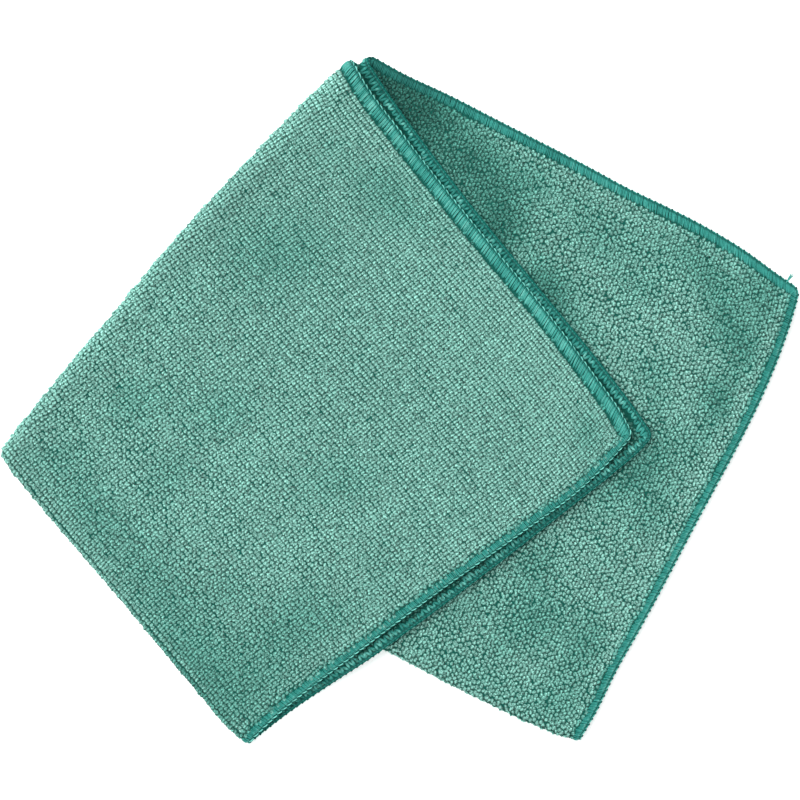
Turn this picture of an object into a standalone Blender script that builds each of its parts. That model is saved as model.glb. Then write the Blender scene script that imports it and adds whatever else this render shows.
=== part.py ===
"""A square microfibre cloth, folded in half and then folded across at a slant.

The cloth is one closed sheet. Its middle surface is worked out from flat cloth coordinates:
run goes along the fold-in-half line, from the short hem that ends up in front (0) to the
short hem that ends up at the back (400), and cross goes over that line, from the narrow half
(negative, it ends up outermost) to the wide half (positive, it ends up inside the slanted fold).

Layers from the floor up: narrow half, wide half (these two are the back panel), then across
the slanted fold wide half, narrow half again (the front panel). All lengths are millimetres.
"""

import math

import bpy
import numpy as np

MM = 0.001

# Driving sizes of the cloth
SIDE = 400.0                # square cloth, hem to hem
THICK = 2.0                 # sheet with its loops
WIDE_HALF = 202.6           # from the fold-in-half line to the hem that shows furthest out
NARROW_HALF = SIDE - WIDE_HALF
CORNER_RADIUS = 3.0         # overlocked corners are slightly round
RIM_SHARE = 0.55            # thickness left on the inner face at the very edge

# How the layers lie
PITCH = 2.7                 # middle of one layer to the middle of the next
FOLD_PUFF = 1.3             # a folded edge stands this much fuller than the flat layers
PUFF_REACH = 8.0
INNER_SLACK = 1.2           # the inner fold lies this much deeper at the hem end
FOLD_RUN_AT_HALF = 148.0    # slanted fold's place on the fold-in-half line
FOLD_RUN_AT_HEM = 197.5     # and on the long hems
DROP_START = 5.0            # the front panel sinks to the floor past the back panel's fold
DROP_LENGTH = 27.0
SLIP_AT_HALF = 0.3          # share of their true arcs by which layers slip past each other
SLIP_AT_HEM = 0.75

# Corners of the folded outline, seen from above: x to the right, y up
CORNERS = {
    "left_fold_tip": (-162.3, -21.9),
    "top_fold_tip": (-16.2, 141.5),
    "narrow_top_tip": (-19.8, 137.4),
    "bottom_fold_tip": (-61.6, -139.2),
    "wide_front_corner": (102.4, -14.5),
    "narrow_front_corner": (94.1, -14.1),
    "back_hem_corner": (161.6, 44.6),
    "back_fold_tip": (72.3, -137.8),
}

# Uneven edges: name, start corner, end corner, side of the run that is outward (+1 left)
EDGES = {
    "slant_fold": ("left_fold_tip", "top_fold_tip", 1),
    "front_half_fold": ("left_fold_tip", "bottom_fold_tip", -1),
    "back_half_fold": ("left_fold_tip", "back_fold_tip", -1),
    "front_wide_end": ("bottom_fold_tip", "wide_front_corner", -1),
    "front_narrow_end": ("bottom_fold_tip", "narrow_front_corner", -1),
    "front_wide_hem": ("top_fold_tip", "wide_front_corner", 1),
    "front_narrow_hem": ("narrow_top_tip", "narrow_front_corner", 1),
    "back_end": ("back_fold_tip", "back_hem_corner", -1),
    "back_hem": ("top_fold_tip", "back_hem_corner", 1),
}

# Each panel's edges: short hem, fold in half, long hem
FRONT_WIDE_EDGES = ("front_wide_end", "front_half_fold", "front_wide_hem")
FRONT_NARROW_EDGES = ("front_narrow_end", "front_half_fold", "front_narrow_hem")
BACK_EDGES = ("back_end", "back_half_fold", "back_hem")

# Rows of (share of the run, millimetres outward of the straight line)
BOWS = {
    "slant_fold": ((0, 0), (0.05, 1.4), (0.15, 2.5), (0.25, 3.5), (0.35, 4.0), (0.5, 5.3),
                   (0.65, 5.0), (0.8, 4.0), (0.9, 2.9), (0.97, 1.1), (1, 0)),
    "front_half_fold": ((0, 0), (0.05, 0.5), (0.2, 1.1), (0.5, 1.4), (0.8, 2.0),
                        (0.95, 1.8), (1, 0)),
    "back_half_fold": ((0, 0), (0.1, 1.0), (0.3, 1.9), (0.66, 2.3), (0.8, 3.1),
                       (0.93, 2.6), (0.98, 1.3), (1, 0)),
    "front_wide_end": ((0, 0), (0.1, -0.2), (0.2, 0.9), (0.3, 2.3), (0.4, 2.8), (0.6, 3.1),
                       (0.8, 2.5), (0.9, 2.1), (0.96, 1.4), (1, 0)),
    "front_narrow_end": ((0, 0), (0.07, -1.5), (0.2, -1.8), (0.3, -1.2), (0.5, 0.2),
                         (0.7, 2.6), (0.84, 3.8), (0.92, 2.6), (1, 0)),
    "front_wide_hem": ((0, 0), (0.1, -1.6), (0.3, -2.4), (0.4, -2.3), (0.6, -0.9),
                       (0.83, 0.6), (0.93, 0.6), (1, 0)),
    "front_narrow_hem": ((0, 0), (0.05, -1.2), (0.2, -1.4), (0.32, -1.0), (0.53, 0.6),
                         (0.65, 1.8), (0.85, 2.0), (0.94, 1.6), (1, 0)),
    "back_end": ((0, 0), (0.06, 1.0), (0.16, 1.1), (0.25, 2.2), (0.5, 3.9), (0.7, 5.3),
                 (0.77, 5.3), (0.9, 3.4), (0.95, 1.9), (1, 0)),
    "back_hem": ((0, 0), (0.1, -0.3), (0.2, 1.0), (0.3, 1.5), (0.5, 2.5), (0.6, 2.6),
                 (0.7, 3.6), (0.77, 3.9), (0.87, 3.0), (0.95, 0.9), (1, 0)),
}

# Soft swells: x, y, rise, reach along, reach across, turn of the long reach in degrees.
# These lift the back panel's upper layer and all that lies on it
BACK_SWELLS = (
    (-14, 132, 3.2, 34, 22, -40),
    (40, 88, 0.7, 30, 16, -30),
    (118, 52, 0.9, 26, 15, 60),
    (150, 36, 1.1, 18, 12, -60),
    (96, -60, 0.8, 40, 14, 64),
)
# These lift the front panel's upper layer off the one below it
FRONT_SWELLS = (
    (-14, 128, 2.2, 26, 12, -52),
    (30, 70, 0.9, 30, 10, -53),
    (88, -8, 1.3, 16, 12, 0),
    (20, -72, 0.9, 42, 8, 38),
    (-80, 40, 0.8, 34, 16, 48),
    (-40, -60, 0.6, 40, 18, -30),
    (-110, -20, 0.6, 22, 16, 20),
)
SLANT_RISE = 2.2            # the whole slanted fold stands fuller than the panels
SLANT_REACH = 13.0
SLANT_OPENING = 2.2         # and its innermost bend stays this much open
OPENING_REACH = 12.0
SWELL_FADE = 20.0           # swells fade in over this width from the back panel's fold

# Mesh: where the sheet is split, as shares of each flat stretch and steps of each bend
FRONT_SPLITS = 18
BACK_SPLITS = 13
HALF_SPLITS = 13
SLANT_BEND_STEPS = 8
HALF_BEND_STEPS = 6
EDGE_INSETS = (1.0, 3.0, 6.0)   # extra lines beside each hem
FOLD_INSETS = (4.0, 10.0)       # and beside the fold in half
NUDGE = 0.02                    # step for slopes of the middle surface

# Width of each half once the fold in half has taken up its bend
BEND_TAKES = (PITCH + FOLD_PUFF) / 2 * (math.pi / 2 - 1) - THICK / 2
WIDE_REACH = WIDE_HALF - BEND_TAKES
NARROW_REACH = NARROW_HALF - BEND_TAKES


def smooth_rows(rows, share):
    """Cubic curve through (share, value) rows."""
    at, value = np.array(rows, float).T
    slope = np.gradient(value, at)
    k = np.clip(np.searchsorted(at, share, side="right") - 1, 0, len(at) - 2)
    span = at[k + 1] - at[k]
    t = (share - at[k]) / span
    rise = value[k + 1] - value[k]
    start, end = slope[k] * span, slope[k + 1] * span
    square, cube = 3 * rise - 2 * start - end, start + end - 2 * rise
    return value[k] + t * (start + t * (square + t * cube))


def mix(first, second, share):
    return first + (second - first) * share


def smooth_step(t):
    t = np.clip(t, 0.0, 1.0)
    return t * t * (3.0 - 2.0 * t)


def edge(name, share):
    """Points along a named uneven edge of the folded outline."""
    first, last, side = EDGES[name]
    start = np.array(CORNERS[first])
    run = np.array(CORNERS[last]) - start
    outward = side * np.array((-run[1], run[0])) / np.hypot(*run)
    bow = smooth_rows(BOWS[name], np.clip(share, 0.0, 1.0))
    return start + share[..., None] * run + bow[..., None] * outward


def patch(fold_end, edges, deep, across):
    """A panel between four uneven edges. deep goes from the slanted fold to the short hem,
    across goes from the fold-in-half line to the long hem."""
    end_edge, half_edge, hem_edge = edges
    slant = edge("slant_fold", across * fold_end)
    short_hem = edge(end_edge, across)
    half_fold = edge(half_edge, deep)
    long_hem = edge(hem_edge, deep)
    zero, one = np.zeros_like(deep), np.ones_like(deep)
    corner_a, corner_b = edge("slant_fold", zero), edge("slant_fold", one * fold_end)
    corner_c, corner_d = edge(end_edge, zero), edge(end_edge, one)
    u, v = deep[..., None], across[..., None]
    ruled = mix(slant, short_hem, u) + mix(half_fold, long_hem, v)
    return ruled - mix(mix(corner_a, corner_b, v), mix(corner_c, corner_d, v), u)


def swell(rows, spot):
    """Sum of soft rises at points seen from above."""
    total = np.zeros(spot.shape[:-1])
    for x, y, rise, reach_long, reach_wide, turn in rows:
        dx, dy = spot[..., 0] - x, spot[..., 1] - y
        c, s = math.cos(math.radians(turn)), math.sin(math.radians(turn))
        long_part = (dx * c + dy * s) / reach_long
        wide_part = (dy * c - dx * s) / reach_wide
        total += rise * np.exp(-long_part ** 2 - wide_part ** 2)
    return total


def past_edge(name, spot):
    """How far outward of a named edge a point lies, seen from above."""
    first, last, side = EDGES[name]
    start = np.array(CORNERS[first])
    run = np.array(CORNERS[last]) - start
    length = np.hypot(*run)
    outward = side * np.array((-run[1], run[0])) / length
    share = (spot - start) @ run / length ** 2
    return (spot - start) @ outward - smooth_rows(BOWS[name], np.clip(share, 0.0, 1.0))


def puff(distance):
    return FOLD_PUFF * np.exp(-(np.maximum(distance, 0.0) / PUFF_REACH) ** 2)


def layer_heights(spot):
    """Middle heights of the four layers, from the floor up, at points seen from above."""
    past_back = past_edge("back_half_fold", spot)
    from_slant = -past_edge("slant_fold", spot)
    fold_rise = SLANT_RISE * np.exp(-(np.maximum(from_slant, 0.0) / SLANT_REACH) ** 2)
    inside = smooth_step(-past_back / SWELL_FADE)
    floor = np.full(spot.shape[:-1], THICK / 2)
    back_top = floor + PITCH + puff(-past_back)
    back_top += inside * (fold_rise + swell(BACK_SWELLS, spot))
    opening = SLANT_OPENING * np.exp(-(np.maximum(from_slant, 0.0) / OPENING_REACH) ** 2)
    drop = smooth_step((past_back - DROP_START) / DROP_LENGTH)
    front_low = mix(back_top + PITCH + opening, floor, drop)
    front_high = front_low + PITCH + puff(-past_edge("front_half_fold", spot))
    front_high += swell(FRONT_SWELLS, spot)
    return floor, back_top, front_low, front_high


def bend_radius():
    """Radius of the fold-in-half bend, to the middle of the sheet."""
    return (PITCH + FOLD_PUFF) / 2


def fold_in_half(cross):
    """Where a flat coordinate lies after the fold in half: its distance from the folded edge as
    a share of the wide and of the narrow half, and how far it has turned to the wide half (0 to 1)."""
    radius = bend_radius()
    turn = np.clip(cross / radius, -math.pi / 2, math.pi / 2)
    flat = np.maximum(np.abs(cross) - radius * math.pi / 2, 0.0)
    from_edge = THICK / 2 + radius * (1 - np.cos(turn)) + flat
    wide_share = (1 + np.sin(turn)) / 2
    return from_edge / WIDE_REACH, from_edge / NARROW_REACH, wide_share


def slant_axes():
    """Start of the slanted fold's straight line, and the direction square to it, inward."""
    start, end = (np.array(CORNERS[c]) for c in EDGES["slant_fold"][:2])
    along = (end - start) / np.hypot(*(end - start))
    return start, np.array((along[1], -along[0]))


def slant_bend(across, wide_share):
    """The slanted fold of one layer: its place along the cloth, how deep its outermost line lies,
    its radius, and half the length of cloth that goes round it."""
    fold_run = FOLD_RUN_AT_HALF + (FOLD_RUN_AT_HEM - FOLD_RUN_AT_HALF) * across
    inset = THICK / 2 + wide_share * (PITCH + INNER_SLACK * across + puff(across * WIDE_REACH))
    probe = edge("slant_fold", across) + 2 * PITCH * slant_axes()[1]
    floor, back_top, front_low, front_high = layer_heights(probe)
    radius = (mix(front_high, front_low, wide_share) - mix(floor, back_top, wide_share)) / 2
    mean_radius = 2 * PITCH
    slip = SLIP_AT_HALF + (SLIP_AT_HEM - SLIP_AT_HALF) * across
    arc = math.pi / 2 * (mean_radius + (radius - mean_radius) * slip)
    return fold_run, inset, radius, arc


def depth_of(corner_at_half, corner_at_hem, across):
    """Distance from the slanted fold to a short hem, square to the fold."""
    start, inward = slant_axes()
    low = (np.array(CORNERS[corner_at_half]) - start) @ inward
    high = (np.array(CORNERS[corner_at_hem]) - start) @ inward
    return low + (high - low) * across


def middle(run, cross):
    """Middle surface of the folded cloth at flat cloth coordinates."""
    across_wide, across_narrow, wide_share = fold_in_half(cross)
    fold_run, inset, radius, arc = slant_bend(across_wide, wide_share)
    # theta goes from -90 degrees on the front panel to 90 on the back panel
    theta = np.clip((run - fold_run) / arc, -1.0, 1.0) * (math.pi / 2)
    tangent = inset + radius
    bend_depth = tangent - radius * np.cos(theta)
    front_flat = np.clip((fold_run - arc - run) / (fold_run - arc), 0.0, 1.0)
    back_flat = np.clip((run - fold_run - arc) / (SIDE - fold_run - arc), 0.0, 1.0)
    front_depth = depth_of("bottom_fold_tip", "narrow_front_corner", across_wide)
    back_depth = depth_of("back_fold_tip", "back_hem_corner", across_wide)
    front_deep = (bend_depth + (front_depth - tangent) * front_flat) / front_depth
    back_deep = (bend_depth + (back_depth - tangent) * back_flat) / back_depth

    wide_front = patch(1.0, FRONT_WIDE_EDGES, front_deep, across_wide)
    narrow_front = patch(NARROW_REACH / WIDE_REACH, FRONT_NARROW_EDGES, front_deep, across_narrow)
    back = patch(1.0, BACK_EDGES, back_deep, across_wide)
    front = mix(narrow_front, wide_front, wide_share[..., None])
    back_share = (1 + np.sin(theta)) / 2
    spot = mix(front, back, back_share[..., None])

    floor, back_top, front_low, front_high = layer_heights(spot)
    front_height = mix(front_high, front_low, wide_share)
    height = mix(front_height, mix(floor, back_top, wide_share), back_share)
    return np.concatenate([spot, height[..., None]], axis=-1)


def outer_normal(run, cross):
    """Unit normal of the middle surface, towards the outer face of the folded cloth."""
    along_run = middle(run + NUDGE, cross) - middle(run - NUDGE, cross)
    along_cross = middle(run, cross + NUDGE) - middle(run, cross - NUDGE)
    normal = np.cross(along_run, along_cross)
    return normal / np.linalg.norm(normal, axis=-1, keepdims=True)


def round_corners(run, cross):
    """Moves points near the cloth's four corners onto round ones."""
    left = np.maximum(CORNER_RADIUS - run, 0.0)
    right = np.maximum(CORNER_RADIUS - (SIDE - run), 0.0)
    low = np.maximum(CORNER_RADIUS - (cross + NARROW_HALF), 0.0)
    high = np.maximum(CORNER_RADIUS - (WIDE_HALF - cross), 0.0)
    u, v = left + right, low + high
    longest = np.maximum(np.maximum(u, v), 1e-9)
    shrink = np.where((u > 0) & (v > 0), longest / np.maximum(np.hypot(u, v), 1e-9), 1.0)
    new_run = run + np.where(left > 0, left, -right) * (1 - shrink)
    new_cross = cross + np.where(low > 0, low, -high) * (1 - shrink)
    return new_run, new_cross


def from_hem(hem, end, count):
    """Lines from a hem to a bend: a few close to the hem, then even ones."""
    step = 1 if end > hem else -1
    near = [hem] + [hem + step * inset for inset in EDGE_INSETS]
    return near + list(np.linspace(near[-1], end, count + 1)[1:])


def sheet_lines():
    """Flat coordinates of the mesh's grid of points, one row for each line along the cloth."""
    half_bend = bend_radius() * math.pi / 2
    beside_fold = [half_bend + inset for inset in FOLD_INSETS]
    crosses = from_hem(-NARROW_HALF, -beside_fold[-1], HALF_SPLITS)
    crosses += [-x for x in beside_fold[-2::-1]]
    crosses += [half_bend * (2 * i / HALF_BEND_STEPS - 1) for i in range(HALF_BEND_STEPS + 1)]
    crosses += beside_fold[:-1]
    crosses += from_hem(WIDE_HALF, beside_fold[-1], HALF_SPLITS)[::-1]
    cross = np.array(crosses)
    across_wide, _, wide_share = fold_in_half(cross)
    fold_run, _, _, arc = slant_bend(across_wide, wide_share)
    rows = []
    for place, bend in zip(fold_run, arc):
        runs = from_hem(0.0, place - bend, FRONT_SPLITS)
        runs += [place + bend * (2 * i / SLANT_BEND_STEPS - 1) for i in range(1, SLANT_BEND_STEPS)]
        runs += from_hem(SIDE, place + bend, BACK_SPLITS)[::-1]
        rows.append(runs)
    return np.array(rows), np.repeat(cross[:, None], len(rows[0]), axis=1)


def cloth_mesh():
    """Vertices and faces of the closed folded sheet, in metres."""
    run, cross = round_corners(*sheet_lines())
    surface = middle(run, cross)
    normal = outer_normal(run, cross)
    at_rim = np.ones(run.shape)
    at_rim[0], at_rim[-1], at_rim[:, 0], at_rim[:, -1] = (RIM_SHARE,) * 4
    outer = surface + normal * THICK / 2
    inner = surface - normal * (at_rim * THICK / 2)[..., None]
    points = np.concatenate([outer.reshape(-1, 3), inner.reshape(-1, 3)]) * MM
    points[:, :2] -= (points.min(axis=0) + points.max(axis=0))[:2] / 2

    height, width = run.shape
    index = np.arange(height * width).reshape(height, width)
    second = index + height * width
    faces = []
    for i in range(height - 1):
        for j in range(width - 1):
            a, b, c, d = index[i, j], index[i, j + 1], index[i + 1, j + 1], index[i + 1, j]
            faces.append((a, b, c))
            faces.append((a, c, d))
            a, b, c, d = second[i, j], second[i, j + 1], second[i + 1, j + 1], second[i + 1, j]
            faces.append((c, b, a))
            faces.append((d, c, a))
    rim = list(index[0, :-1]) + list(index[:-1, -1]) + list(index[-1, :0:-1]) + list(index[:0:-1, 0])
    for a, b in zip(rim, rim[1:] + rim[:1]):
        faces.append((b, a, a + height * width))
        faces.append((b, a + height * width, b + height * width))
    return points, faces


def cloth_material():
    material = bpy.data.materials.new("mint_green_microfibre")
    material.use_nodes = True
    shader = material.node_tree.nodes["Principled BSDF"]
    shader.inputs["Base Color"].default_value = (0.14, 0.36, 0.29, 1.0)
    shader.inputs["Roughness"].default_value = 0.95
    shader.inputs["Metallic"].default_value = 0.0
    return material


def clear_scene():
    for item in list(bpy.data.objects):
        bpy.data.objects.remove(item, do_unlink=True)


def main():
    clear_scene()
    points, faces = cloth_mesh()
    mesh = bpy.data.meshes.new("cloth")
    mesh.from_pydata([tuple(p) for p in points], [], [tuple(int(k) for k in f) for f in faces])
    mesh.materials.append(cloth_material())
    mesh.shade_smooth()
    mesh.update()
    cloth = bpy.data.objects.new("cloth", mesh)
    bpy.context.scene.collection.objects.link(cloth)


main()
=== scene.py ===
"""Looks of a folded microfibre cleaning cloth: its sheet, terry loops and overlocked hem.

Lengths are millimetres on the cloth and become metres in the meshes. The cloth's own flat
coordinates are run (along the fold in half, 0 at the front short hem) and cross (over that
fold, negative on the narrow half, positive on the wide half).
"""

import math

import bpy
import numpy as np
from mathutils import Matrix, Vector


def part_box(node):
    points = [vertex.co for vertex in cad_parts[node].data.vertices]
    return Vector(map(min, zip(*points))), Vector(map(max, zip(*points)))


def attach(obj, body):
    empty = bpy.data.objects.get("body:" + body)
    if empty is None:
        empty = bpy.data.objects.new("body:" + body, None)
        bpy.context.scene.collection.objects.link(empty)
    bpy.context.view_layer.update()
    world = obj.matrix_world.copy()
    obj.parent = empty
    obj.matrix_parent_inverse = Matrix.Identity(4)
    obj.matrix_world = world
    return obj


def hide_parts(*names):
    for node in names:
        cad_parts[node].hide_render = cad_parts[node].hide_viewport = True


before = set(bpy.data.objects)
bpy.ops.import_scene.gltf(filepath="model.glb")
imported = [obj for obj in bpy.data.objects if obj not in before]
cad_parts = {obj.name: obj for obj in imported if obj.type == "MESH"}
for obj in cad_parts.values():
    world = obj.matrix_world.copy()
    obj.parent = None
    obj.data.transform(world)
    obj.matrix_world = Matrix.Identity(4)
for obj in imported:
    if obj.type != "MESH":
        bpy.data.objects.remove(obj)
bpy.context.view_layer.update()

MM = 0.001

# The cloth and how it lies, as in the part's source
SIDE = 400.0  # square cloth, hem to hem
THICK = 2.0  # sheet with its loops
WIDE_HALF = 202.6  # from the fold-in-half line to the hem that shows furthest out
NARROW_HALF = SIDE - WIDE_HALF
CORNER_RADIUS = 3.0
PITCH = 2.7  # middle of one layer to the middle of the next
FOLD_PUFF = 1.3  # a folded edge stands this much fuller than the flat layers
PUFF_REACH = 8.0
INNER_SLACK = 1.2  # the inner fold lies this much deeper at the hem end
FOLD_RUN_AT_HALF = 148.0  # slanted fold's place on the fold-in-half line
FOLD_RUN_AT_HEM = 197.5  # and on the long hems
DROP_START = 5.0  # the front panel sinks to the floor past the back panel's fold
DROP_LENGTH = 27.0
SLIP_AT_HALF = 0.3  # share of their true arcs by which layers slip past each other
SLIP_AT_HEM = 0.75
SLANT_RISE = 2.2  # the whole slanted fold stands fuller than the panels
SLANT_REACH = 13.0
SLANT_OPENING = 2.2  # and its innermost bend stays this much open
OPENING_REACH = 12.0
SWELL_FADE = 20.0  # swells fade in over this width from the back panel's fold

# Corners of the folded outline, seen from above: x to the right, y up
CORNERS = {
    "left_fold_tip": (-162.3, -21.9),
    "top_fold_tip": (-16.2, 141.5),
    "narrow_top_tip": (-19.8, 137.4),
    "bottom_fold_tip": (-61.6, -139.2),
    "wide_front_corner": (102.4, -14.5),
    "narrow_front_corner": (94.1, -14.1),
    "back_hem_corner": (161.6, 44.6),
    "back_fold_tip": (72.3, -137.8),
}

# Uneven edges: start corner, end corner, side of the run that is outward (+1 left), and rows of
# (share of the run, millimetres outward of the straight line). Both ends are on that line
EDGES = {
    "slant_fold": ("left_fold_tip", "top_fold_tip", 1, (
        (0.05, 1.4), (0.15, 2.5), (0.25, 3.5), (0.35, 4.0), (0.5, 5.3), (0.65, 5.0), (0.8, 4.0),
        (0.9, 2.9), (0.97, 1.1))),
    "front_half_fold": ("left_fold_tip", "bottom_fold_tip", -1, (
        (0.05, 0.5), (0.2, 1.1), (0.5, 1.4), (0.8, 2.0), (0.95, 1.8))),
    "back_half_fold": ("left_fold_tip", "back_fold_tip", -1, (
        (0.1, 1.0), (0.3, 1.9), (0.66, 2.3), (0.8, 3.1), (0.93, 2.6), (0.98, 1.3))),
    "front_wide_end": ("bottom_fold_tip", "wide_front_corner", -1, (
        (0.1, -0.2), (0.2, 0.9), (0.3, 2.3), (0.4, 2.8), (0.6, 3.1), (0.8, 2.5), (0.9, 2.1),
        (0.96, 1.4))),
    "front_narrow_end": ("bottom_fold_tip", "narrow_front_corner", -1, (
        (0.07, -1.5), (0.2, -1.8), (0.3, -1.2), (0.5, 0.2), (0.7, 2.6), (0.84, 3.8), (0.92, 2.6))),
    "front_wide_hem": ("top_fold_tip", "wide_front_corner", 1, (
        (0.1, -1.6), (0.3, -2.4), (0.4, -2.3), (0.6, -0.9), (0.83, 0.6), (0.93, 0.6))),
    "front_narrow_hem": ("narrow_top_tip", "narrow_front_corner", 1, (
        (0.05, -1.2), (0.2, -1.4), (0.32, -1.0), (0.53, 0.6), (0.65, 1.8), (0.85, 2.0),
        (0.94, 1.6))),
    "back_end": ("back_fold_tip", "back_hem_corner", -1, (
        (0.06, 1.0), (0.16, 1.1), (0.25, 2.2), (0.5, 3.9), (0.7, 5.3), (0.77, 5.3), (0.9, 3.4),
        (0.95, 1.9))),
    "back_hem": ("top_fold_tip", "back_hem_corner", 1, (
        (0.1, -0.3), (0.2, 1.0), (0.3, 1.5), (0.5, 2.5), (0.6, 2.6), (0.7, 3.6), (0.77, 3.9),
        (0.87, 3.0), (0.95, 0.9))),
}

# Each panel's edges: short hem, fold in half, long hem
FRONT_WIDE_EDGES = ("front_wide_end", "front_half_fold", "front_wide_hem")
FRONT_NARROW_EDGES = ("front_narrow_end", "front_half_fold", "front_narrow_hem")
BACK_EDGES = ("back_end", "back_half_fold", "back_hem")

# Soft swells: x, y, rise, reach along, reach across, turn of the long reach in degrees.
# These lift the back panel's upper layer and all that lies on it
BACK_SWELLS = (
    (-14, 132, 3.2, 34, 22, -40), (40, 88, 0.7, 30, 16, -30), (118, 52, 0.9, 26, 15, 60),
    (150, 36, 1.1, 18, 12, -60), (96, -60, 0.8, 40, 14, 64),
)
# These lift the front panel's upper layer off the one below it
FRONT_SWELLS = (
    (-14, 128, 2.2, 26, 12, -52), (30, 70, 0.9, 30, 10, -53), (88, -8, 1.3, 16, 12, 0),
    (20, -72, 0.9, 42, 8, 38), (-80, 40, 0.8, 34, 16, 48), (-40, -60, 0.6, 40, 18, -30),
    (-110, -20, 0.6, 22, 16, 20),
)
# Creases that only the visible upper layers have, as soft ridges (rise) and troughs (fall)
FRONT_CREASES = (
    (-64, 62, -0.45, 30, 16, 40), (-40, 8, 0.5, 30, 9, 40), (-58, -28, 0.55, 42, 10, 42),
    (-118, 0, -0.35, 20, 12, 30), (40, 24, 0.6, 34, 26, -52), (-6, 78, -0.35, 16, 10, -50),
    (-34, -58, 0.5, 28, 12, 25),
)
BACK_CREASES = (
    (38, 66, -0.4, 16, 7, -60), (56, 68, 0.7, 22, 9, -58), (70, 88, 0.5, 14, 9, -20),
    (84, 60, -0.4, 18, 8, 70), (98, 62, 0.8, 16, 9, 20), (104, 32, 0.6, 18, 8, -70),
    (130, 38, -0.45, 26, 8, -62), (116, 12, 0.7, 16, 8, -65), (94, -52, 0.6, 26, 9, -64),
    (56, -82, -0.45, 18, 10, -30), (76, -98, -0.4, 12, 9, 0), (40, -100, 0.5, 20, 8, -30),
)
# The inner face lies in green shade between the layers
INNER_TONES = ((0, 0, -0.32, 500, 500, 0),)
EXPOSED_FADE = 10.0  # the back creases fade out this far under the front panel's hems
# Patches of the pile's brightness, as a share of it: partly pile that is pressed or brushed, and
# partly painted shade and light, such as the shade beside the raised front panel near the top tip
FRONT_PILE_AND_SHADING = (
    (-80, -112, -0.18, 30, 15, -50), (-141, -20, -0.10, 14, 10, 0), (-125, -44, -0.12, 18, 10, -50),
    (-99, -70, -0.10, 26, 12, -50), (-34, -58, 0.10, 26, 11, 25), (20, -40, 0.06, 24, 14, 0),
    (-101, 40, 0.13, 26, 15, 50), (-20, -32, -0.08, 20, 12, 20), (-65, -28, 0.07, 24, 12, 48),
    (-59, 61, -0.06, 17, 14, 40), (-40, -86, -0.09, 40, 14, 35), (-107, 0, -0.11, 13, 11, 0),
    (-48, -10, 0.04, 32, 10, 48), (40, 26, 0.09, 42, 26, -52), (-24, 116, 0.14, 20, 10, -50),
    (-91, 62, 0.05, 80, 4, 48), (-130, 8, 0.09, 28, 8, 48), (-44, 107, 0.06, 30, 7, 48),
    (-81.5, -115.6, -0.22, 28, 0.8, -49.4), (-80.5, -114.7, 0.14, 28, 0.6, -49.4),
    (-44, 104, 0.22, 10, 6, 45), (83, 8, 0.26, 8, 5, -45), (-137, -8, 0.12, 15, 8, 45),
    (-23, -74, 0.10, 10, 7, 45), (-24, 122, 0.10, 6, 5, 0), (8, -23, 0.09, 24, 8, 0),
    (94, -7, 0.10, 6, 4, -45), (-6, 86, -0.13, 18, 10, -45), (16, 70, -0.06, 24, 10, -20),
    (-71, -6, -0.10, 13, 10, 0), (76, -13, -0.15, 11, 7, 90), (-55, -115, -0.10, 17, 11, 45),
    (-42, 59, -0.10, 19, 14, 20), (-22, 107, -0.09, 16, 6, 30), (-69, -76, -0.09, 9, 7, 0),
    (-92, -30, -0.09, 11, 8, 45), (-121, 21, 0.15, 6, 4, 48), (-36, -91, -0.07, 18, 9, 20),
)
BACK_PILE_AND_SHADING = (
    (0, 123, -0.66, 24, 15, -50), (24, 101, -0.17, 24, 13, -52), (40, 74, -0.22, 18, 10, -60),
    (23, 90, -0.09, 12, 6, -50), (59, 46, -0.30, 16, 7, -52), (133, 34, -0.20, 24, 7, -62),
    (147, 42, -0.22, 12, 9, -60), (127, 2, -0.22, 14, 7, -62), (24, -72, 0.14, 60, 6, 38),
    (121, -42, 0.12, 90, 6, 64), (103, 12, -0.10, 10, 7, 0), (97, 65, -0.05, 14, 10, 0),
    (75, -99, -0.18, 14, 8, 62), (55, -88, -0.20, 12, 12, 0), (24, -84, -0.10, 16, 9, 25),
    (65, -122, -0.13, 12, 10, 0), (101, 28, 0.05, 16, 7, -62), (93, -57, 0.06, 26, 8, -64),
    (68, 84, -0.05, 30, 8, -29), (102, -39, -0.11, 26, 12, 64), (137, 11, -0.13, 22, 6, 64),
    (28, -110, -0.07, 30, 6, -26), (18, 119, -0.08, 22, 6, -29), (114, -45, 0.06, 80, 2.5, 64),
    (32, 98, -0.14, 12, 8, -20), (52, 88, -0.13, 8, 7, 0), (37, 65, -0.23, 10, 6, 60),
    (78, 66, -0.11, 18, 9, -45), (97, 44, -0.11, 10, 9, 0), (120, 55, -0.13, 18, 8, -30),
    (131, 25, -0.12, 10, 6, -45), (76, 27, -0.09, 9, 5, -45), (124, -17, -0.09, 9, 7, 45),
    (103, -4, -0.10, 14, 6, 90), (96, -29, -0.22, 17, 6, 42), (54, -66, -0.15, 10, 9, 42),
    (40, -99, -0.09, 7, 7, 0), (48, 56, 0.14, 8, 6, 45), (121, 10, 0.11, 9, 7, 0),
    (93, -91, 0.20, 8, 4, 0), (97, -48, -0.04, 20, 13, 0), (41, 82, -0.13, 18, 12, -50),
    (-8, 120, -0.20, 7, 6, 0), (64, 45, -0.09, 8, 8, 45), (82, -37, -0.08, 8, 5, 42),
)

# Sheet
SHEET_HALF_THICK = 0.45  # ground fabric, without its loops
SHEET_INSETS = (0.5, 1.2, 2.4)
BEND_LINES = 12  # lines in each fold
LINE_STEP = 3.6  # lines elsewhere
NUDGE = 0.02  # step for slopes of the middle surface

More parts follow.
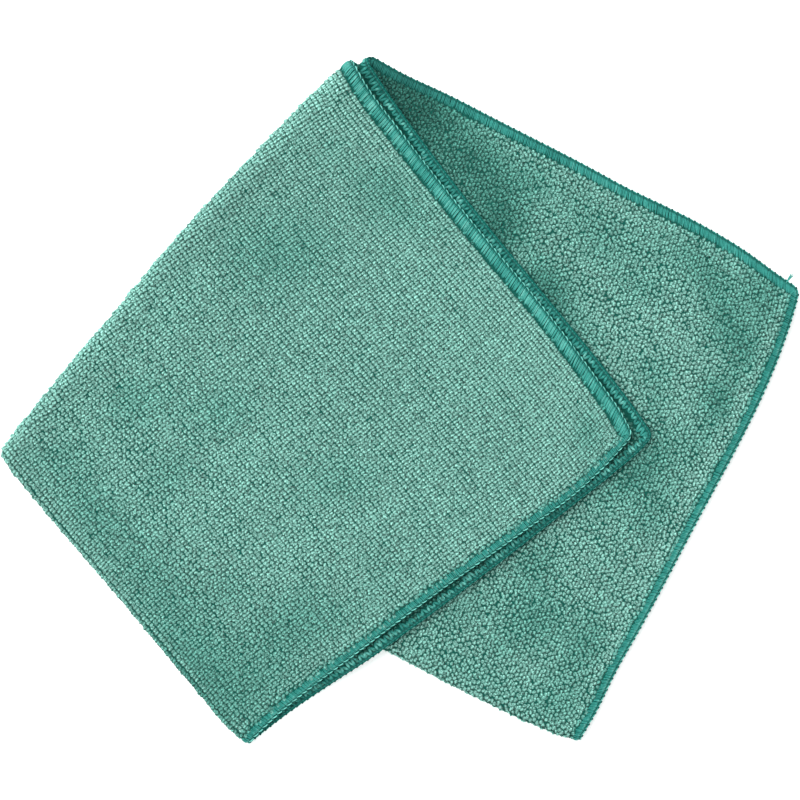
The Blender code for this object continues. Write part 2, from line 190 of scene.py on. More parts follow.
# Loops
WALE_PITCH = 1.895  # across the cloth
COURSE_PITCH = 1.295  # along it
LOOP_LENGTH = 2.4
LOOP_WIDTH = 2.3
LOOP_ROOT = 0.28  # height of a loop's foot over the middle of the sheet
LOOP_HEIGHT = 0.74  # its crown over its foot
LOOP_TURN = -4.0  # degrees by which loops lie askew of their course
FIRST_LOOP = 2.6  # the loops' rows begin this far from the hems
COVERED = 7.0  # loops further than this under another panel are left out
INNER_LOOP_BAND = 14.0  # loops on the inner face show only this far from the hems
TINT_REACH = 1.8  # loops beside the stitches take on their colour over this width
FOLD_BAND = 8.0  # the top's loops go on this far past the fold in half
BACK_SPLIT = 300.0  # where along the run the back panel's loops part into two pieces
# Where loops begin past the stitches, and how raggedly: along a long hem, and by a short one
LOOP_START, LOOP_START_BY_END = 0.35, -0.2
RAGGED, RAGGED_BY_END = 0.35, 0.5
# How far loops stray from their course, 0 to 1: on the front panel by its long hem, what is
# added up to the fold in half, what is taken off close to it, by a short hem, and on the back
HEM_STRAY, ADDED_STRAY, FOLD_STRAY, END_STRAY, BACK_STRAY = 0.06, 0.24, 0.13, 0.8, 0.5
SIZE_SCATTER, TONE_SCATTER = 0.06, 0.03
HEIGHT_LIMITS = (0.5, 1.8)
LOW_HEIGHT, LOW_LOOP_SHADE = 0.5, 0.75  # a loop that lies low, as a share of one that stands; its darker tone is painted shade
WALE_WANDER = 0.9  # loops wander this much across the cloth for 1 along it
LEAN = 0.1  # crowns lean this far with the lie of the pile
# Loops this close to a short hem's stitches lean over them, by millimetres, and stand taller
OVERHANG_REACH, OVERHANG_LEAN, OVERHANG_RISE = 1.2, 0.6, 0.35
# Patch tones: dark ones are partly painted shade, pale ones partly painted light
DARKEST = 0.6  # patches count as no darker than this
DEEPEST, DEEP_REACH = 0.8, 0.25  # how far dark patches, painted shade among them, take on the deep shade green, and how soon
DARKENING, DARKENING_RISE = 1.3, 1.13  # how fast patches darken, and how much faster dark ones do
PALE_SHARE, PILE_TONE_SHARE = 0.8, 0.015  # what pale patches, painted light among them, and the pile's own drift add
# How loops vary, where they keep to their course and where they have strayed from it: shifts in
# millimetres, a turn in degrees, the share that lies low, and shares of length and width
CLUMPING = (0.01, 0.1)
WANDERING = (0.09, 0.5)
SIDESTEP = (0.0, 0.64)
RUN_SCATTER = (0.05, 0.28)
CROSS_SCATTER = (0.04, 0.26)
TURN_SCATTER = (8.0, 40.0)
LOW_SHARE = (0.015, 0.12)
LENGTH_SHARE = (1.0, 0.86)
WIDTH_SHARE = (1.0, 1.1)
# And on a fold's steep side and on the level panels; on the steep side loops are lighter as painted
# rim light
HEIGHT_SCATTER = (0.45, 0.1)
LEAN_SCATTER = (0.25, 0.05)
STEEP_RIM_LIGHT = (1.15, 1.0)

# Overlocked hem: length of a stitch, and width of the stitches that loops leave bare
STITCH = 2.6
SHORT_HEM, NARROW_HEM, WIDE_HEM = 2.6, 4.4, 3.5
RIB_START = 0.6  # the stitches' threads rise this far in from the rim
RIM_SEED, LOOP_SEED = 5, 11
# For the hems at the front end, along the narrow half, along the wide half and at the back end:
# width of the stitches, slant of their threads, brightness of these from their inner ends out,
# brightness of the threads on the inner face and of the cord on the rim, and size of its knots.
# The brightnesses are partly painted light and shade: a whole hem is lighter or darker by how it
# faces the light
HEM_DEPTHS = (SHORT_HEM, NARROW_HEM, WIDE_HEM, SHORT_HEM)
RIB_SLANTS = (0.08, 0.36, 0.3, 0.08)
RIB_TONES = (
    (1.05, 0.66, 0.72, 1.0, 1.15),
    (0.76, 1.0, 1.02, 1.06, 0.7),
    (1.1, 0.92, 0.88, 0.84, 0.6),
    (1.05, 0.66, 0.72, 1.05, 0.95),
)
CHEVRON_TONES = (1.2, 1.08, 1.08, 1.08)
CORD_TONES = (1.5, 1.35, 0.8, 1.0)
KNOT_SIZES = (0.75, 0.55, 0.8, 0.8)
SHORT_HEM_END = 2.5  # on the rim, the short hems' stitches reach this far round a corner
THREAD_SHARE = 0.7  # threads on the back panel have this share of its patches, painted shade and light included

# View: pixels of the photograph to a millimetre, and its width
PIXELS_PER_MM = 2.475
VIEW_PIXELS = 800
LENS = 400.0
SENSOR = 36.0
FOCUS_HEIGHT = 6.0  # height above the floor at which that scale holds

# Light: a big soft panel beyond the top left of the picture, and a white room (metres, watts)
KEY_PLACE = (-1.8, 1.5, 2.9)
KEY_SIZE = 4.5
KEY_POWER = 195.0
WORLD_LIGHT = 0.62
FLOOR_GLOW = 0.5  # the white sweep is itself lit, so the shadows on it are faint


# ---- shape of the folded cloth

def mix(first, second, share):
    return first + (second - first) * share


def smooth_step(t):
    t = np.clip(t, 0.0, 1.0)
    return t * t * (3.0 - 2.0 * t)


def smooth_rows(rows, share):
    """Cubic curve through (share, value) rows."""
    at, value = np.array(rows, float).T
    slope = np.gradient(value, at)
    k = np.clip(np.searchsorted(at, share, side="right") - 1, 0, len(at) - 2)
    span = at[k + 1] - at[k]
    t = (share - at[k]) / span
    rise = value[k + 1] - value[k]
    start, end = slope[k] * span, slope[k + 1] * span
    square, cube = 3 * rise - 2 * start - end, start + end - 2 * rise
    return value[k] + t * (start + t * (square + t * cube))


def edge_line(name):
    """Start and straight run of a named edge, and the direction outward of it."""
    first, last, side, _ = EDGES[name]
    start = np.array(CORNERS[first])
    run = np.array(CORNERS[last]) - start
    return start, run, side * np.array((-run[1], run[0])) / np.hypot(*run)


def edge_bow(name, share):
    return smooth_rows(((0, 0), *EDGES[name][3], (1, 0)), np.clip(share, 0.0, 1.0))


def edge(name, share):
    """Points along a named uneven edge of the folded outline."""
    start, run, outward = edge_line(name)
    return start + share[..., None] * run + edge_bow(name, share)[..., None] * outward


def patch(fold_end, edges, deep, across):
    """A panel between four uneven edges. deep goes from the slanted fold to the short hem,
    across goes from the fold-in-half line to the long hem."""
    end_edge, half_edge, hem_edge = edges
    u, v = deep[..., None], across[..., None]
    ruled = mix(edge("slant_fold", across * fold_end), edge(end_edge, across), u)
    ruled += mix(edge(half_edge, deep), edge(hem_edge, deep), v)
    ends = np.zeros_like(deep), np.ones_like(deep)
    on_slant = mix(*(edge("slant_fold", end * fold_end) for end in ends), v)
    return ruled - mix(on_slant, mix(*(edge(end_edge, end) for end in ends), v), u)


def swell(rows, spot):
    """Sum of soft rises at points seen from above."""
    total = np.zeros(spot.shape[:-1])
    for x, y, rise, reach_long, reach_wide, turn in rows:
        dx, dy = spot[..., 0] - x, spot[..., 1] - y
        c, s = math.cos(math.radians(turn)), math.sin(math.radians(turn))
        long_part = (dx * c + dy * s) / reach_long
        wide_part = (dy * c - dx * s) / reach_wide
        total += rise * np.exp(-long_part ** 2 - wide_part ** 2)
    return total


def past_edge(name, spot):
    """How far outward of a named edge a point lies, seen from above."""
    start, run, outward = edge_line(name)
    share = (spot - start) @ run / np.hypot(*run) ** 2
    return (spot - start) @ outward - edge_bow(name, share)


def past_front(spot):
    """How far outside the front panel's hems a point lies, seen from above."""
    return np.maximum(past_edge("front_wide_hem", spot), past_edge("front_wide_end", spot))


def fall(distance, reach):
    """1 at an edge and before it, falling softly past it."""
    return np.exp(-(np.maximum(distance, 0.0) / reach) ** 2)


def puff(distance):
    return FOLD_PUFF * fall(distance, PUFF_REACH)


def layer_heights(spot):
    """Middle heights of the four layers, from the floor up, at points seen from above."""
    past_back = past_edge("back_half_fold", spot)
    from_slant = -past_edge("slant_fold", spot)
    fold_rise = SLANT_RISE * fall(from_slant, SLANT_REACH)
    inside = smooth_step(-past_back / SWELL_FADE)
    exposed = smooth_step(1 + past_front(spot) / EXPOSED_FADE)
    floor = np.full(spot.shape[:-1], THICK / 2)
    back_top = floor + PITCH + puff(-past_back)
    back_top += inside * (fold_rise + swell(BACK_SWELLS, spot))
    opening = SLANT_OPENING * fall(from_slant, OPENING_REACH)
    drop = smooth_step((past_back - DROP_START) / DROP_LENGTH)
    front_low = mix(back_top + PITCH + opening, floor, drop)
    front_high = front_low + PITCH + puff(-past_edge("front_half_fold", spot))
    front_high += swell(FRONT_SWELLS, spot) + swell(FRONT_CREASES, spot)
    back_top += inside * exposed * swell(BACK_CREASES, spot)
    return floor, back_top, front_low, front_high


# Radius of the fold-in-half bend to the middle of the sheet, half its length, and what it
# takes of each half of the cloth
BEND_RADIUS = (PITCH + FOLD_PUFF) / 2
HALF_BEND = BEND_RADIUS * math.pi / 2
BEND_TAKES = BEND_RADIUS * (math.pi / 2 - 1) - THICK / 2
WIDE_REACH = WIDE_HALF - BEND_TAKES
NARROW_REACH = NARROW_HALF - BEND_TAKES


def fold_in_half(cross):
    """Where a flat coordinate lies after the fold in half: its distance from the folded edge as
    a share of the wide and of the narrow half, and how far it has turned to the wide half."""
    turn = np.clip(cross / BEND_RADIUS, -math.pi / 2, math.pi / 2)
    flat = np.maximum(np.abs(cross) - HALF_BEND, 0.0)
    from_edge = THICK / 2 + BEND_RADIUS * (1 - np.cos(turn)) + flat
    wide_share = (1 + np.sin(turn)) / 2
    return from_edge / WIDE_REACH, from_edge / NARROW_REACH, wide_share


def slant_axes():
    """Start of the slanted fold's straight line, and the direction square to it, inward."""
    start, run, _ = edge_line("slant_fold")
    along = run / np.hypot(*run)
    return start, np.array((along[1], -along[0]))


def slant_bend(across, wide_share):
    """The slanted fold of one layer: its place along the cloth, how deep its outermost line lies,
    its radius, and half the length of cloth that goes round it."""
    fold_run = mix(FOLD_RUN_AT_HALF, FOLD_RUN_AT_HEM, across)
    inset = THICK / 2 + wide_share * (PITCH + INNER_SLACK * across + puff(across * WIDE_REACH))
    probe = edge("slant_fold", across) + 2 * PITCH * slant_axes()[1]
    floor, back_top, front_low, front_high = layer_heights(probe)
    radius = (mix(front_high, front_low, wide_share) - mix(floor, back_top, wide_share)) / 2
    slipped = mix(2 * PITCH, radius, mix(SLIP_AT_HALF, SLIP_AT_HEM, across))
    return fold_run, inset, radius, math.pi / 2 * slipped


def depth_of(corner_at_half, corner_at_hem, across):
    """Distance from the slanted fold to a short hem, square to the fold."""
    start, inward = slant_axes()
    corners = corner_at_half, corner_at_hem
    low, high = ((np.array(CORNERS[corner]) - start) @ inward for corner in corners)
    return mix(low, high, across)


def middle(run, cross):
    """Middle surface of the folded cloth at flat cloth coordinates."""
    across_wide, across_narrow, wide_share = fold_in_half(cross)
    fold_run, inset, radius, arc = slant_bend(across_wide, wide_share)
    # theta goes from -90 degrees on the front panel to 90 on the back panel
    theta = np.clip((run - fold_run) / arc, -1.0, 1.0) * (math.pi / 2)
    tangent = inset + radius
    bend_depth = tangent - radius * np.cos(theta)
    front_flat = np.clip((fold_run - arc - run) / (fold_run - arc), 0.0, 1.0)
    back_flat = np.clip((run - fold_run - arc) / (SIDE - fold_run - arc), 0.0, 1.0)
    front_depth = depth_of("bottom_fold_tip", "narrow_front_corner", across_wide)
    back_depth = depth_of("back_fold_tip", "back_hem_corner", across_wide)
    front_deep = (bend_depth + (front_depth - tangent) * front_flat) / front_depth
    back_deep = (bend_depth + (back_depth - tangent) * back_flat) / back_depth

    wide_front = patch(1.0, FRONT_WIDE_EDGES, front_deep, across_wide)
    narrow_front = patch(NARROW_REACH / WIDE_REACH, FRONT_NARROW_EDGES, front_deep, across_narrow)
    back = patch(1.0, BACK_EDGES, back_deep, across_wide)
    front = mix(narrow_front, wide_front, wide_share[..., None])
    back_share = (1 + np.sin(theta)) / 2
    spot = mix(front, back, back_share[..., None])

    floor, back_top, front_low, front_high = layer_heights(spot)
    front_height = mix(front_high, front_low, wide_share)
    height = mix(front_height, mix(floor, back_top, wide_share), back_share)
    return np.concatenate([spot, height[..., None]], axis=-1)


def unit(vectors):
    return vectors / np.maximum(np.linalg.norm(vectors, axis=-1, keepdims=True), 1e-12)


def surface_axes(run, cross):
    """Unit directions along the run, along the cross, and out of the cloth's outer face."""
    along_run = unit(middle(run + NUDGE, cross) - middle(run - NUDGE, cross))
    along_cross = unit(middle(run, cross + NUDGE) - middle(run, cross - NUDGE))
    return along_run, along_cross, unit(np.cross(along_run, along_cross))


def inside_rim(run, cross):
    """Flat coordinates kept so far inside the rim that slopes can be taken there."""
    inner_run = np.clip(run, 2 * NUDGE, SIDE - 2 * NUDGE)
    return inner_run, np.clip(cross, 2 * NUDGE - NARROW_HALF, WIDE_HALF - 2 * NUDGE)


def on_cloth(run, cross, height):
    """Points at a height over the outer face's side of the middle surface. Past a hem they go
    straight on from it."""
    inner_run, inner_cross = inside_rim(run, cross)
    along_run, along_cross, normal = surface_axes(inner_run, inner_cross)
    points = middle(inner_run, inner_cross) + normal * height[..., None]
    points += along_run * (run - inner_run)[..., None]
    points += along_cross * (cross - inner_cross)[..., None]
    return points


def round_corners(run, cross):
    """Moves points near the cloth's four corners onto round ones."""
    sides = run, SIDE - run, cross + NARROW_HALF, WIDE_HALF - cross
    left, right, low, high = (np.maximum(CORNER_RADIUS - side, 0.0) for side in sides)
    u, v = left + right, low + high
    longest = np.maximum(np.maximum(u, v), 1e-9)
    shrink = np.where((u > 0) & (v > 0), longest / np.maximum(np.hypot(u, v), 1e-9), 1.0)
    new_run = run + np.where(left > 0, left, -right) * (1 - shrink)
    new_cross = cross + np.where(low > 0, low, -high) * (1 - shrink)
    return new_run, new_cross


def from_ends(run):
    return np.minimum(run, SIDE - run)


def hem_distance(run, cross, short=0.0, narrow=0.0, wide=0.0):
    """Distance in the flat cloth to the nearest hem, or to the inner side of hems so wide."""
    sides = np.minimum(cross + NARROW_HALF - narrow, WIDE_HALF - cross - wide)
    return np.minimum(from_ends(run) - short, sides)


def past_stitches(run, cross):
    return hem_distance(run, cross, SHORT_HEM, NARROW_HEM, WIDE_HEM)


# ---- meshes

def both_faces(run, cross, half_thick):
    """Points of the outer face of a sheet so thick, then those of its inner face."""
    surface = middle(run, cross)
    outward = surface_axes(run, cross)[2] * half_thick
    return np.concatenate([surface + outward, surface - outward]).reshape(-1, 3)


def cad_shift():
    """What puts this map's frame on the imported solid, seen from above, in millimetres."""
    low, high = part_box("cloth")
    points = both_faces(*sheet_lines(), THICK / 2)
    own = (points.min(axis=0) + points.max(axis=0))[:2] / 2
    cad = np.array(((low.x + high.x) / 2, (low.y + high.y) / 2)) / MM
    return cad - own


def new_object(name, data, place=(0, 0, 0)):
    item = bpy.data.objects.new(name, data)
    item.location = place
    bpy.context.scene.collection.objects.link(item)
    return item


def make_mesh(name, points, faces, material, attributes=None, uv=None):
    """An object from arrays of points (millimetres) and of faces that all have the same number
    of corners, with named numbers for each point and a map for baking."""
    place = np.array(points, float)
    place[:, :2] += SHIFT
    place[:, 2] = np.maximum(place[:, 2], 0.0)
    mesh = bpy.data.meshes.new(name)
    count, corners = faces.shape
    mesh.vertices.add(len(place))
    mesh.vertices.foreach_set("co", (place * MM).astype(np.float32).ravel())
    mesh.loops.add(count * corners)
    mesh.loops.foreach_set("vertex_index", faces.astype(np.int32).ravel())
    mesh.polygons.add(count)
    mesh.polygons.foreach_set("loop_start", np.arange(0, count * corners, corners, dtype=np.int32))
    mesh.update(calc_edges=True)
    mesh.polygons.foreach_set("use_smooth", np.full(count, True))
    if uv is not None:
        mesh.uv_layers.new(name="OFBake").uv.foreach_set("vector", uv.astype(np.float32).ravel())
    for key, values in (attributes or {}).items():
        layer = mesh.attributes.new(key, "FLOAT", "POINT")
        layer.data.foreach_set("value", values.astype(np.float32).ravel())
    mesh.materials.append(material)
    mesh.validate()
    return new_object(name, mesh)


def from_hem(hem, end):
    """A few lines close to a hem, and how many even ones follow up to a bend."""
    step = 1 if end > hem else -1
    near = [hem] + [hem + step * inset for inset in SHEET_INSETS]
    return near, math.ceil(abs(end - near[-1]) / LINE_STEP)


def lines_over(low_hem, high_hem, bend_start, bend_end):
    """Lines from one hem over a bend to the other. Each hem is what from_hem says of it."""
    (low, low_count), (high, high_count) = low_hem, high_hem
    return np.concatenate([
        low,
        np.linspace(low[-1], bend_start, low_count + 1)[1:],
        np.linspace(bend_start, bend_end, BEND_LINES + 1)[1:],
        np.linspace(bend_end, high[-1], high_count + 1)[1:],
        high[-2::-1],
    ])


def sheet_lines():
    """Flat coordinates of the sheet's grid of points, one row for each line along the cloth."""
    halves = from_hem(-NARROW_HALF, -HALF_BEND), from_hem(WIDE_HALF, HALF_BEND)
    cross = lines_over(*halves, -HALF_BEND, HALF_BEND)
    across_wide, _, wide_share = fold_in_half(cross)
    fold_run, _, _, arc = slant_bend(across_wide, wide_share)
    ends = from_hem(0.0, FOLD_RUN_AT_HEM), from_hem(SIDE, FOLD_RUN_AT_HALF)
    bends = zip(fold_run - arc, fold_run + arc)
    run = np.array([lines_over(*ends, start, end) for start, end in bends])
    return run, np.repeat(cross[:, None], run.shape[1], axis=1)


def make_sheet(material):
    """The ground fabric as one thin closed sheet."""
    run, cross = round_corners(*sheet_lines())
    points = both_faces(run, cross, SHEET_HALF_THICK)
    height, width = run.shape
    index = np.arange(height * width).reshape(height, width)
    quads = np.stack([index[:-1, :-1], index[:-1, 1:], index[1:, 1:], index[1:, :-1]], axis=-1)
    quads = quads.reshape(-1, 4)
    rim = np.concatenate([index[0, :-1], index[:-1, -1], index[-1, :0:-1], index[:0:-1, 0]])
    ahead = np.roll(rim, -1)
    under = height * width
    faces = np.concatenate([
        quads,
        quads[:, ::-1] + under,
        np.stack([ahead, rim, rim + under, ahead + under], axis=-1),
    ])
    hem = np.tile(hem_distance(run, cross).ravel(), 2)
    return make_mesh("cloth_sheet", points, faces, material, {"hem_distance": hem})


def beads(centre, along, side, up, sizes, profile):
    """Many small closed beads, each a few rings between two tips.

    profile rows are (place along, width share, height share); sizes are the length, width and
    height of each bead. Every ring has three points: two low and wide, and one on the ridge."""
    length, width, height = (s[:, None] for s in sizes)
    points, crown = [centre - along * length / 2 + up * height * TIP_RISE], [TIP_RISE]
    for place, wide, high in profile:
        for aside, rise in BEAD_RING:
            offset = along * place * length / 2 + side * aside * wide * width
            points.append(centre + offset + up * rise * high * height)
            crown.append(rise * high)
    points.append(centre + along * length / 2 + up * height * TIP_RISE)
    crown.append(TIP_RISE)
    count = len(centre)
    faces, corners = bead_faces(profile)
    faces = faces[None] + len(points) * np.arange(count)[:, None, None]
    points = np.stack(points, axis=1).reshape(-1, 3)
    return points, faces.reshape(-1, 3), np.tile(crown, count), cells(corners, count)


def bead_faces(profile):
    """Triangles of one bead, and where each of their corners lies in its cell of the bake."""
    ring = len(BEAD_RING)
    tip = ring * len(profile) + 1
    along = [(place + 1) / 2 for place, _, _ in profile]
    faces, corners = [], []
    for k, (low, high) in enumerate(zip(BEAD_CELL, BEAD_CELL[1:])):
        after, half = (k + 1) % ring, (low + high) / 2
        faces += [(1 + after, 1 + k, 0), (tip - ring + k, tip - ring + after, tip)]
        corners += [((along[0], high), (along[0], low), (0.0, half)),
                    ((along[-1], low), (along[-1], high), (1.0, half))]
        for r, (here, ahead) in enumerate(zip(along, along[1:])):
            a, b = 1 + ring * r + k, 1 + ring * r + after
            faces += [(b + ring, a + ring, a), (b, b + ring, a)]
            corners += [((ahead, high), (ahead, low), (here, low)),
                        ((here, high), (ahead, high), (here, low))]
    return np.array(faces), np.array(corners)


def cells(corners, count):
    """Repeats one item's map into a square grid of cells, one for each of count items."""
    side = math.ceil(math.sqrt(count))
    number = np.arange(count)
    origin = np.stack([number % side, number // side], axis=1)[:, None, None]
    return ((origin + 0.06 + 0.88 * corners[None]) / side).reshape(-1, 2)


# ---- loops

BEAD_RING = ((-0.5, 0.0), (0.0, 1.0), (0.5, 0.0))
BEAD_CELL = (0.0, 0.45, 0.9, 1.0)  # where a bead's long edges lie across its cell
TIP_RISE = 0.15
FINE_BEAD = ((-0.6, 0.9, 0.7), (0.05, 1.0, 0.86), (0.62, 0.85, 1.0))
PLAIN_BEAD = ((0.0, 1.0, 1.0),)


def waves(seed, count, longest, shortest):
    """A smooth random function of flat coordinates, between about -1 and 1."""
    random = np.random.default_rng(seed)
    length = random.uniform(shortest, longest, count)
    heading = random.uniform(0, 2 * math.pi, count)
    phase = random.uniform(0, 2 * math.pi, count)

    def at(run, cross):
        total = np.zeros(np.shape(run))
        for size, angle, start in zip(length, heading, phase):
            travel = run * math.cos(angle) + cross * math.sin(angle)
            total += np.sin(2 * math.pi * travel / size + start)
        return total / math.sqrt(count)

    return at


WALE_DRIFT = waves(21, 9, 30, 10)
COURSE_DRIFT = waves(27, 9, 26, 9)
CLUMP_RUN = waves(25, 12, 15, 5)
CLUMP_CROSS = waves(26, 12, 15, 5)
LEAN_RUN = waves(22, 9, 90, 22)
LEAN_CROSS = waves(23, 9, 90, 22)
PILE_TONE = waves(24, 9, 90, 16)


def loop_lattice():
    """Flat coordinates of every loop of one face, and the side to which each one steps."""
    wales = np.arange(-NARROW_HALF + FIRST_LOOP, WIDE_HALF - FIRST_LOOP, WALE_PITCH)
    courses = np.arange(FIRST_LOOP, SIDE - FIRST_LOOP, COURSE_PITCH)
    cross, run = np.meshgrid(wales, courses, indexing="ij")
    step = np.where(np.arange(len(courses)) % 2 == 0, 1.0, -1.0)
    return run.ravel(), cross.ravel(), np.tile(step, len(wales))


def make_loops(name, run, cross, step, face, strayed, tones, fine, random, material):
    """One piece of loops. face is 1 on the outer face and -1 on the inner one, and strayed says
    how far each loop has strayed from its course, 0 to 1."""
    count = len(run)

    def scatter(pair, share):
        return random.normal(0, 1, count) * mix(*pair, share)

    near = past_stitches(run, cross)
    clump = mix(*CLUMPING, strayed)
    wander = mix(*WANDERING, strayed)
    spread = 1 + (COURSE_DRIFT(run + 0.5, cross) - COURSE_DRIFT(run - 0.5, cross)) * wander
    run = run + COURSE_DRIFT(run, cross) * wander + CLUMP_RUN(run, cross) * clump
    run += scatter(RUN_SCATTER, strayed)
    cross = cross + WALE_DRIFT(run, cross) * WALE_WANDER * wander + step * mix(*SIDESTEP, strayed)
    cross += CLUMP_CROSS(run, cross) * clump + scatter(CROSS_SCATTER, strayed)
    along_run, along_cross, normal = surface_axes(run, cross)
    turn = np.radians(LOOP_TURN + scatter(TURN_SCATTER, strayed))
    c, s = np.cos(turn)[:, None], np.sin(turn)[:, None]
    along = along_cross * c + along_run * s
    up = normal * face
    side = np.cross(up, along)
    low = random.random(count) < mix(*LOW_SHARE, strayed)
    length = LOOP_LENGTH * mix(*LENGTH_SHARE, strayed) * random.normal(1.0, SIZE_SCATTER, count)
    width = LOOP_WIDTH * spread * mix(*WIDTH_SHARE, strayed)
    width *= random.normal(1.0, SIZE_SCATTER, count)
    level = np.abs(normal[:, 2])
    height = LOOP_HEIGHT * (1 + scatter(HEIGHT_SCATTER, level)).clip(*HEIGHT_LIMITS)
    # pile beside a short hem stands up and leans over its stitches
    over = smooth_step(1 - (from_ends(run) - SHORT_HEM) / OVERHANG_REACH)
    outward = np.where(run < SIDE / 2, -over, over)
    height *= np.where(low, LOW_HEIGHT, 1.0) * (1 + OVERHANG_RISE * over)
    centre = middle(run, cross) + up * LOOP_ROOT
    points, faces, crown, uv = beads(
        centre, along, side, up, (length, width, height), FINE_BEAD if fine else PLAIN_BEAD
    )
    per_bead = len(points) // count
    # crowns lean with the lie of the pile
    lean = along_run * LEAN_RUN(run, cross)[:, None] + along_cross * LEAN_CROSS(run, cross)[:, None]
    uneven = mix(*LEAN_SCATTER, level)[:, None]
    lean = lean * LEAN + along_run * random.normal(0, 1, (count, 1)) * uneven
    lean += along_run * (OVERHANG_LEAN * outward)[:, None]
    points = points + np.repeat(lean, per_bead, axis=0) * crown[:, None]
    # loops that lie low are darkened as painted shade
    tone = random.normal(1.0, TONE_SCATTER, count) * np.where(low, LOW_LOOP_SHADE, 1.0)
    # patch tones paint shade and light into each loop's tone, along with pressed pile
    patch_tone = swell(tones, middle(run, cross)[:, :2])
    dark, pale = np.clip(-patch_tone, 0.0, DARKEST), np.maximum(patch_tone, 0.0)
    # dark patches, partly painted shade, take on a deeper shade green, which is itself darker
    deep = DEEPEST * (1 - np.exp(-dark / DEEP_REACH))
    shade = np.exp(-dark * (DARKENING + DARKENING_RISE * dark)) / (1 - 0.5 * deep)
    tone *= PILE_TONE_SHARE * PILE_TONE(run, cross) + (shade + PALE_SHARE * pale)
    # loops on a fold's steep side are made lighter, a painted rim light
    tone *= mix(*STEEP_RIM_LIGHT, level)
    tint = smooth_step(1 - (near - 0.3) / TINT_REACH) * (1 - 0.6 * over)
    attributes = {
        "crown": crown,
        "tone": np.repeat(tone, per_bead),
        "tint": np.repeat(tint, per_bead),
        "deep": np.repeat(deep, per_bead),
    }
    return make_mesh(name, points, faces, material, attributes, uv)


def make_pile(material):
    """Every loop that can be seen, in pieces."""
    random = np.random.default_rng(LOOP_SEED)
    run, cross, step = loop_lattice()
    by_end = from_ends(run) < SHORT_HEM + 2
    ragged = random.normal(0, 1, len(run)) * np.where(by_end, RAGGED_BY_END, RAGGED)
    start = np.where(by_end, LOOP_START_BY_END, LOOP_START) + ragged
    kept = past_stitches(run, cross) > start
    run, cross, step = run[kept], cross[kept], step[kept]
    spot = middle(run, cross)[:, :2]
    across_wide, _, wide_share = fold_in_half(cross)
    fold_run, _, _, arc = slant_bend(across_wide, wide_share)
    theta = np.clip((run - fold_run) / arc, -1.0, 1.0)
    wide = cross > 0
    front = run < fold_run
    hidden_back = past_front(spot) < -COVERED
    on_floor = past_edge("back_half_fold", spot) > -COVERED
    by_fold = np.abs(cross) < FOLD_BAND
    front_top = (~wide | by_fold) & front
    back_top = wide & (theta > 0.2) & ~hidden_back
    below = ~wide & ~front | wide & front & on_floor & ~by_fold
    below |= by_fold & ~front & ~back_top
    in_folds = (np.abs(theta) < 1) | (np.abs(cross) < 10)
    inner = (hem_distance(run, cross) < INNER_LOOP_BAND) & wide
    # the front panel's loops stay in line near its long hem and stray towards the fold in half
    front_stray = HEM_STRAY + ADDED_STRAY * smooth_step((cross + NARROW_HALF) / NARROW_HALF)
    front_stray -= FOLD_STRAY * smooth_step(1 - np.abs(cross) / 24)
    by_short_hem = smooth_step(1 - (from_ends(run) - SHORT_HEM) / 4.0)
    front_stray = np.maximum(front_stray, END_STRAY * by_short_hem)
    back_stray = np.full(len(run), BACK_STRAY)
    split = np.median(cross[front_top])
    pieces = (
        ("front_loops_by_hem", front_top & (cross < split), 1, front_stray, FRONT_PILE_AND_SHADING, True),
        ("front_loops_by_fold", front_top & (cross >= split), 1, front_stray, FRONT_PILE_AND_SHADING, True),
        ("back_loops_by_fold", back_top & (run < BACK_SPLIT), 1, back_stray, BACK_PILE_AND_SHADING, True),
        ("back_loops_by_hem", back_top & (run >= BACK_SPLIT), 1, back_stray, BACK_PILE_AND_SHADING, True),
        ("folded_edge_loops", below & in_folds, 1, front_stray, (), True),
        ("underside_loops", below & ~in_folds, 1, back_stray, (), False),
        ("inner_loops", inner, -1, back_stray, INNER_TONES, False),
    )
    return [
        make_loops(name, run[at], cross[at], step[at], face, stray[at], tones, fine, random,
                   material)
        for name, at, face, stray, tones, fine in pieces
    ]


# ---- overlocked hem

FLAT_RING = ((-0.5, 0.0), (-0.3, 1.0), (0.3, 1.0), (0.5, 0.0))
ROUND_RING = ((-0.5, 0.0), (-0.25, 0.43), (0.25, 0.43), (0.5, 0.0), (0.25, -0.43), (-0.25, -0.43))
RIM_LENGTH = 4 * (SIDE - 2 * CORNER_RADIUS) + 2 * math.pi * CORNER_RADIUS
STITCHES = round(RIM_LENGTH / STITCH)


def rim_point(s, inset):
    """Flat coordinates at distance s round the cloth's rim and an inset from it."""
    quarter = math.pi / 2 * CORNER_RADIUS
    turns = np.array((
        (0.0, -NARROW_HALF), (SIDE, -NARROW_HALF), (SIDE, WIDE_HALF), (0.0, WIDE_HALF)))
    s = s % RIM_LENGTH
    run, cross = np.zeros_like(s), np.zeros_like(s)
    start = 0.0
    for here, there in zip(turns, np.roll(turns, -1, axis=0)):
        span = np.hypot(*(there - here)) - 2 * CORNER_RADIUS
        along = (there - here) / np.hypot(*(there - here))
        inward = np.array((-along[1], along[0]))
        t = s - start
        straight = (t >= 0) & (t < span)
        spot = here + along * (CORNER_RADIUS + t)[..., None] + inward * inset[..., None]
        run, cross = np.where(straight, spot[..., 0], run), np.where(straight, spot[..., 1], cross)
        angle = (t - span) / CORNER_RADIUS
        bend = (t >= span) & (t < span + quarter)
        centre = there - along * CORNER_RADIUS + inward * CORNER_RADIUS
        c, n = np.cos(angle)[..., None], np.sin(angle)[..., None]
        spot = centre - (inward * c - along * n) * (CORNER_RADIUS - inset)[..., None]
        run, cross = np.where(bend, spot[..., 0], run), np.where(bend, spot[..., 1], cross)
        start += span + quarter
    return run, cross


